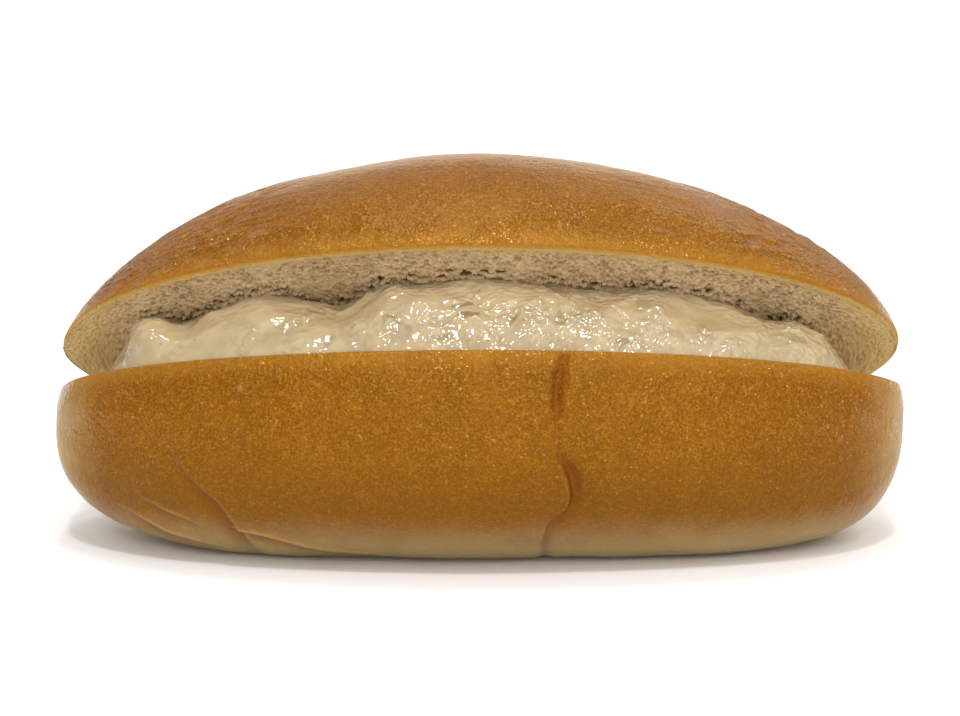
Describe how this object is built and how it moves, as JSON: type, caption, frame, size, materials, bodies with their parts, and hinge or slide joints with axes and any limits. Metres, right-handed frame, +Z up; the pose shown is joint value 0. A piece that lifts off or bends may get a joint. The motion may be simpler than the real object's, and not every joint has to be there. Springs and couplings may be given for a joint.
{
  "type": "tuna salad roll",
  "caption": "Long soft bread roll, cut open along its front, with a glossy creamy tuna salad filling that shows between the two halves.",
  "frame": {"origin": "middle of the flat underside that the roll rests on", "axes": "+X along the roll, -Y towards the open front where the filling shows, +Z up from the underside to the crown"},
  "size_m": [0.15, 0.0708, 0.0672],
  "materials": {
    "bread": "golden-brown baked crust with a soft egg-wash shine, pale open crumb on the cut faces",
    "salad": "wet cream-coloured mayonnaise with flakes of tuna"
  },
  "bodies": {
    "root": {"bread_roll": "bread", "tuna_salad": "salad"}
  },
  "joints": []
}
